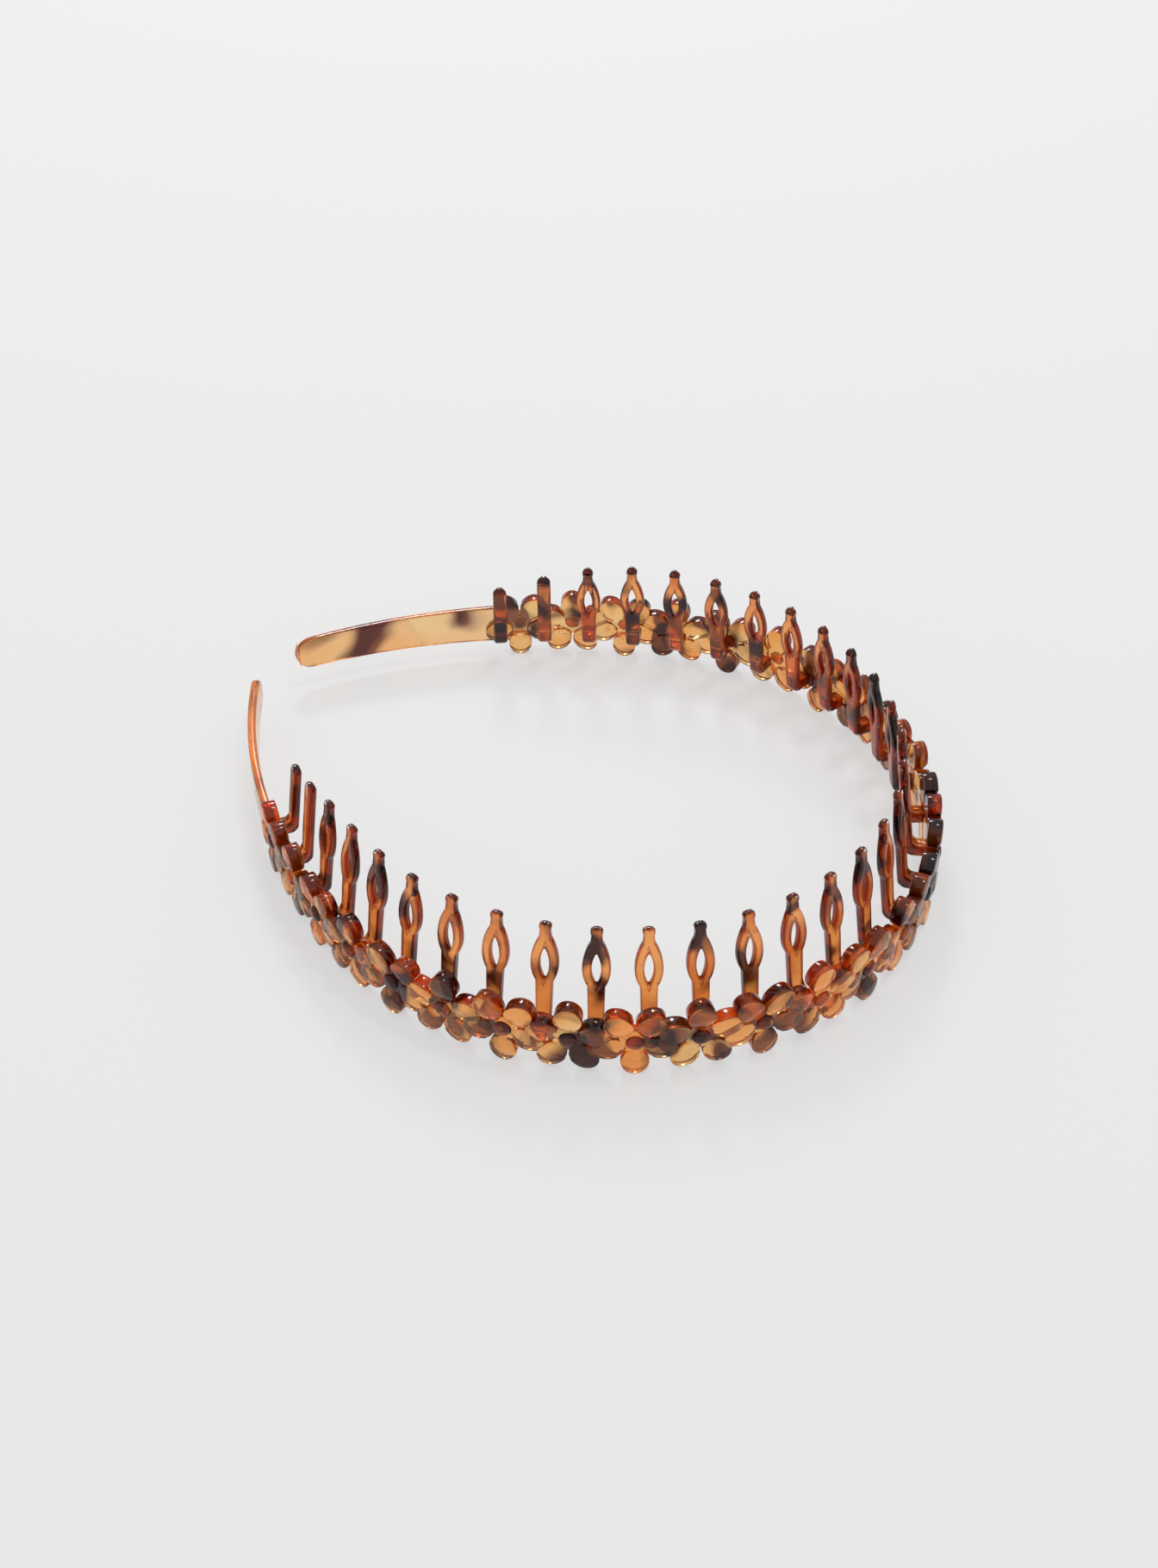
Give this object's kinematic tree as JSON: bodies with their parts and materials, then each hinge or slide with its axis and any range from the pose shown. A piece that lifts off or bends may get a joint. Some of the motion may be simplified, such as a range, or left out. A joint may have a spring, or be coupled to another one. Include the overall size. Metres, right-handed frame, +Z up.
{
  "type": "headband",
  "caption": "Horseshoe headband in tortoiseshell plastic: a chain of five-petal flowers, a comb of looped teeth inside it and two flat tails",
  "frame": {"origin": "centre of the bounding box in plan, on the surface that the lowest petals stand on", "axes": "+X to the crown, the middle of the band; -X to the open end; +Y to the left side; +Z up, the way the comb teeth point"},
  "size_m": [0.1465, 0.123, 0.0275],
  "materials": {
    "flower_plastic": "polished translucent tortoiseshell",
    "tooth_plastic": "polished translucent tortoiseshell",
    "tail_plastic": "polished translucent tortoiseshell"
  },
  "bodies": {
    "crown": {"flower_crown": "flower_plastic", "flower_left_1": "flower_plastic", "flower_left_2": "flower_plastic", "tooth_left_1": "tooth_plastic", "tooth_left_2": "tooth_plastic", "tooth_left_3": "tooth_plastic", "flower_right_1": "flower_plastic", "flower_right_2": "flower_plastic", "tooth_right_1": "tooth_plastic", "tooth_right_2": "tooth_plastic", "tooth_right_3": "tooth_plastic"},
    "left_1": {"flower_left_3": "flower_plastic", "flower_left_4": "flower_plastic", "tooth_left_4": "tooth_plastic", "tooth_left_5": "tooth_plastic"},
    "left_2": {"flower_left_5": "flower_plastic", "flower_left_6": "flower_plastic", "flower_left_7": "flower_plastic", "flower_left_8": "flower_plastic", "flower_left_9": "flower_plastic", "tooth_left_6": "tooth_plastic", "tooth_left_7": "tooth_plastic", "tooth_left_8": "tooth_plastic", "tooth_left_9": "tooth_plastic", "tooth_left_10": "tooth_plastic", "tooth_left_11": "tooth_plastic"},
    "left_3": {"flower_left_10": "flower_plastic", "flower_left_11": "flower_plastic", "flower_left_12": "flower_plastic", "flower_left_13": "flower_plastic", "tooth_left_12": "tooth_plastic", "tooth_left_13": "tooth_plastic", "tooth_left_14": "tooth_plastic", "plain_teeth_left": "tooth_plastic", "tail_left": "tail_plastic"},
    "right_1": {"flower_right_3": "flower_plastic", "flower_right_4": "flower_plastic", "tooth_right_4": "tooth_plastic", "tooth_right_5": "tooth_plastic"},
    "right_2": {"flower_right_5": "flower_plastic", "flower_right_6": "flower_plastic", "flower_right_7": "flower_plastic", "flower_right_8": "flower_plastic", "flower_right_9": "flower_plastic", "tooth_right_6": "tooth_plastic", "tooth_right_7": "tooth_plastic", "tooth_right_8": "tooth_plastic", "tooth_right_9": "tooth_plastic", "tooth_right_10": "tooth_plastic", "tooth_right_11": "tooth_plastic"},
    "right_3": {"flower_right_10": "flower_plastic", "flower_right_11": "flower_plastic", "flower_right_12": "flower_plastic", "flower_right_13": "flower_plastic", "tooth_right_12": "tooth_plastic", "tooth_right_13": "tooth_plastic", "tooth_right_14": "tooth_plastic", "plain_teeth_right": "tooth_plastic", "tail_right": "tail_plastic"}
  },
  "joints": [
    {"name": "left_bend_1", "type": "hinge", "parent": "crown", "child": "left_1", "pos_m": [0.066, 0.02838, 0.00745], "axis": [0, 0, -1], "range_deg": [0, 7], "stiffness_Nm_per_rad": 1.1},
    {"name": "left_bend_2", "type": "hinge", "parent": "left_1", "child": "left_2", "pos_m": [0.05098, 0.0464, 0.00745], "axis": [0, 0, -1], "range_deg": [0, 6], "stiffness_Nm_per_rad": 1},
    {"name": "left_bend_3", "type": "hinge", "parent": "left_2", "child": "left_3", "pos_m": [-0.00421, 0.05989, 0.00745], "axis": [0, 0, -1], "range_deg": [0, 7.5], "stiffness_Nm_per_rad": 0.85},
    {"name": "right_bend_1", "type": "hinge", "parent": "crown", "child": "right_1", "pos_m": [0.066, -0.02838, 0.00745], "axis": [0, 0, 1], "range_deg": [0, 7], "stiffness_Nm_per_rad": 1.1},
    {"name": "right_bend_2", "type": "hinge", "parent": "right_1", "child": "right_2", "pos_m": [0.05098, -0.0464, 0.00745], "axis": [0, 0, 1], "range_deg": [0, 6], "stiffness_Nm_per_rad": 1},
    {"name": "right_bend_3", "type": "hinge", "parent": "right_2", "child": "right_3", "pos_m": [-0.00421, -0.05989, 0.00745], "axis": [0, 0, 1], "range_deg": [0, 7.5], "stiffness_Nm_per_rad": 0.85}
  ],
  "couplings": [
    {"joint": "left_bend_2", "follows": "left_bend_1", "ratio": 0.85},
    {"joint": "left_bend_3", "follows": "left_bend_1", "ratio": 1.07},
    {"joint": "right_bend_2", "follows": "right_bend_1", "ratio": 0.85},
    {"joint": "right_bend_3", "follows": "right_bend_1", "ratio": 1.07}
  ]
}
